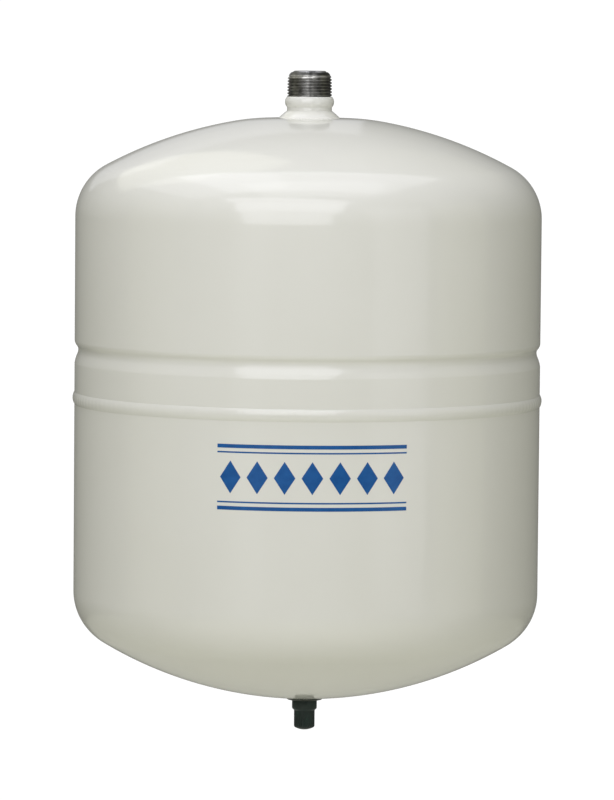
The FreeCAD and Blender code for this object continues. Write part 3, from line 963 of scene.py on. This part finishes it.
def bendRoundSide(piece, radius):
    # x runs along the side, and y is the height above it
    for vertex in piece.data.vertices:
        x, lift, z = vertex.co
        angle = x / radius
        vertex.co = ((radius + lift) * math.sin(angle), -(radius + lift) * math.cos(angle), z)
    piece.data.update()


def printPiece():
    device = {
        "width": 112 * mm,
        "height": 38 * mm,
        "ruleHeight": 2.2 * mm,
        "ruleHeightThin": 0.9 * mm,
        "ruleStep": 2.4 * mm,
        "ruleCuts": 48,
        "diamonds": 7,
        "diamondHeight": 19 * mm,
        "diamondShare": 0.78,
        "diamondCuts": 12,
        "ink": 0.05 * mm,
        "middle": -217 * mm,
        "shift": 3.5 * mm,
    }
    made = []
    lift = device["ink"] / 2
    outerRule = device["height"] / 2 - device["ruleHeight"] / 2
    innerRule = device["height"] / 2 - device["ruleHeight"] - device["ruleStep"]
    rows = [
        (outerRule, device["ruleHeight"]),
        (innerRule, device["ruleHeightThin"]),
        (-innerRule, device["ruleHeightThin"]),
        (-outerRule, device["ruleHeight"]),
    ]
    for height, thick in rows:
        deselectAll()
        bpy.ops.mesh.primitive_cube_add(size=1, location=(0, lift, height))
        ruleSize = (device["width"], device["ink"], thick)
        made.append(flatPrint(bpy.context.object, ruleSize, device["ruleCuts"]))
    pitch = device["width"] / device["diamonds"]
    diamondSize = (pitch * device["diamondShare"], device["diamondHeight"], device["ink"])
    for number in range(device["diamonds"]):
        deselectAll()
        place = -device["width"] / 2 + pitch * (number + 0.5)
        # a cylinder of four sides, laid with its axis across the print
        bpy.ops.mesh.primitive_cylinder_add(
            vertices=4, radius=0.5, depth=1, location=(place, lift, 0), rotation=(math.pi / 2, 0, 0)
        )
        made.append(flatPrint(bpy.context.object, diamondSize, device["diamondCuts"]))
    piece = joined("printedDevice", made)
    for vertex in piece.data.vertices:
        vertex.co.x += device["shift"]
        vertex.co.z += device["middle"]
    bendRoundSide(piece, shell["radius"])
    settle(piece, "printedDevice", smoothDegrees=30)
    return finishPiece(piece, inkFinish, "tank", "ivory_paint")


printPiece()
print("side printed")


# Studio

def softbox(name, place, aim, width, height, power, colour):
    data = bpy.data.lights.new(name, "AREA")
    data.shape = "RECTANGLE"
    data.size = width
    data.size_y = height
    data.energy = power
    data.color = colour
    lamp = bpy.data.objects.new(name, data)
    bpy.context.scene.collection.objects.link(lamp)
    lamp.location = place
    lamp.rotation_mode = "QUATERNION"
    lamp.rotation_quaternion = (Vector(aim) - Vector(place)).to_track_quat("-Z", "Y")


def around(azimuth, elevation, distance, centre):
    # azimuth is measured from the camera's side, to the right
    a = math.radians(azimuth)
    e = math.radians(elevation)
    return (
        centre[0] + distance * math.sin(a) * math.cos(e),
        centre[1] - distance * math.cos(a) * math.cos(e),
        centre[2] + distance * math.sin(e),
    )


def lamps():
    cool = (0.985, 0.985, 1.06)
    warm = (1, 1, 0.85)
    green = (1, 1, 0.62)
    # azimuth, elevation, distance, width, height, power and colour of each softbox
    softboxes = {
        "front strip": (-12, 46.6, 1.6, 1.49, 0.2, 2.2, cool),
        "front strip middle": (-10, 34, 1.6, 1.36, 0.48, 5.9, cool),
        "front strip low": (-10, 14, 1.6, 1.2, 0.6, 5.1, cool),
        "front above": (8, 71, 1.9, 1.5, 1.15, 4.6, cool),
        "front left": (-28, 5, 2.4, 0.7, 1.8, 1.2, cool),
        "front right": (45, 10, 2.4, 1.2, 1.8, 4.5, cool),
        "left": (-80, 5, 2.2, 1.2, 2.0, 1.6, green),
        "right": (80, 5, 2.2, 1.2, 2.0, 2.3, green),
        "top": (0, 90, 1.7, 2.0, 1.6, 10.2, cool),
        "top left": (-90, 62, 1.8, 1.4, 1.4, 4.3, cool),
        "behind": (-165, 25, 2.2, 1.4, 0.9, 1.3, cool),
        "behind left": (-139, 47, 2.0, 1.4, 1.15, 3.8, warm),
        "behind right": (140, 45, 2.0, 1.5, 1.2, 0.6, green),
    }
    middle = (0, 0, -150 * mm)
    for name, (azimuth, elevation, distance, width, height, power, colour) in softboxes.items():
        softbox(name, around(azimuth, elevation, distance, middle), middle, width, height, power, colour)

    # what the table in front of the tank throws back up: distance, width, depth and power
    tableTop = -740 * mm
    bounces = {
        "table near": (0.63, 2.4, 0.54, 0.7),
        "table far": (1.3, 2.4, 0.8, 1.6),
    }
    for name, (distance, width, depth, power) in bounces.items():
        softbox(name, (0, -distance, tableTop), (0, -distance, 0), width, depth, power, green)


def studioFloor():
    pale = {
        "height": -780 * mm,
        "radius": 1.6,
        "corners": 96,
        "shades": [(0.3, (0.8, 0.8, 0.72)), (0.7, (0.84, 0.84, 0.76))],
        "cloudScale": 3,
        "cloudDetail": 2,
        "roughness": 0.7,
    }
    deselectAll()
    bpy.ops.mesh.primitive_circle_add(
        vertices=pale["corners"], radius=pale["radius"], fill_type="NGON", location=(0, 0, pale["height"])
    )
    floor = settle(bpy.context.object, "studioFloor")
    material, tree, shader = newMaterial("paleFloor")
    cloud = noiseOn(tree, pale["cloudScale"], pale["cloudDetail"])
    tree.links.new(ramp(tree, cloud, pale["shades"]), shader.inputs["Base Color"])
    shader.inputs["Roughness"].default_value = pale["roughness"]
    floor.data.materials.append(material)


def studioRoom():
    # a dim grey room lights the tank, and the backdrop behind it is white
    light = {
        "room": (1, 1, 0.94, 1),
        "roomStrength": 0.163,
        "backdrop": (1, 1, 1, 1),
        "backdropStrength": 1.05,
    }
    world = bpy.data.worlds.new("studio")
    bpy.context.scene.world = world
    world.use_nodes = True
    tree = world.node_tree
    room = next(node for node in tree.nodes if node.type == "BACKGROUND")
    room.inputs["Color"].default_value = light["room"]
    room.inputs["Strength"].default_value = light["roomStrength"]
    backdrop = addNode(
        tree, "ShaderNodeBackground", Color=light["backdrop"], Strength=light["backdropStrength"]
    )
    path = addNode(tree, "ShaderNodeLightPath")
    mix = addNode(tree, "ShaderNodeMixShader")
    output = next(node for node in tree.nodes if node.type == "OUTPUT_WORLD")
    tree.links.new(path.outputs["Is Camera Ray"], mix.inputs["Fac"])
    tree.links.new(room.outputs["Background"], mix.inputs[1])
    tree.links.new(backdrop.outputs["Background"], mix.inputs[2])
    tree.links.new(mix.outputs["Shader"], output.inputs["Surface"])
    bpy.context.scene.view_settings.view_transform = "Standard"


def photographCamera():
    view = {
        "aim": (0, 0, -182 * mm),
        "distance": 3.0,
        "elevation": 4.2,
        "lean": 0.49,
        "lens": 224.6,
        "near": 0.05,
        "far": 30,
    }
    data = bpy.data.cameras.new("photograph")
    data.lens = view["lens"]
    data.clip_start = view["near"]
    data.clip_end = view["far"]
    camera = bpy.data.objects.new("photograph", data)
    bpy.context.scene.collection.objects.link(camera)
    place = Vector(around(0, view["elevation"], view["distance"], view["aim"]))
    camera.location = place
    look = (Vector(view["aim"]) - place).to_track_quat("-Z", "Y")
    camera.rotation_mode = "QUATERNION"
    camera.rotation_quaternion = look @ Matrix.Rotation(math.radians(view["lean"]), 3, "Z").to_quaternion()
    bpy.context.scene.camera = camera


lamps()
studioFloor()
studioRoom()
photographCamera()
print("studio set")
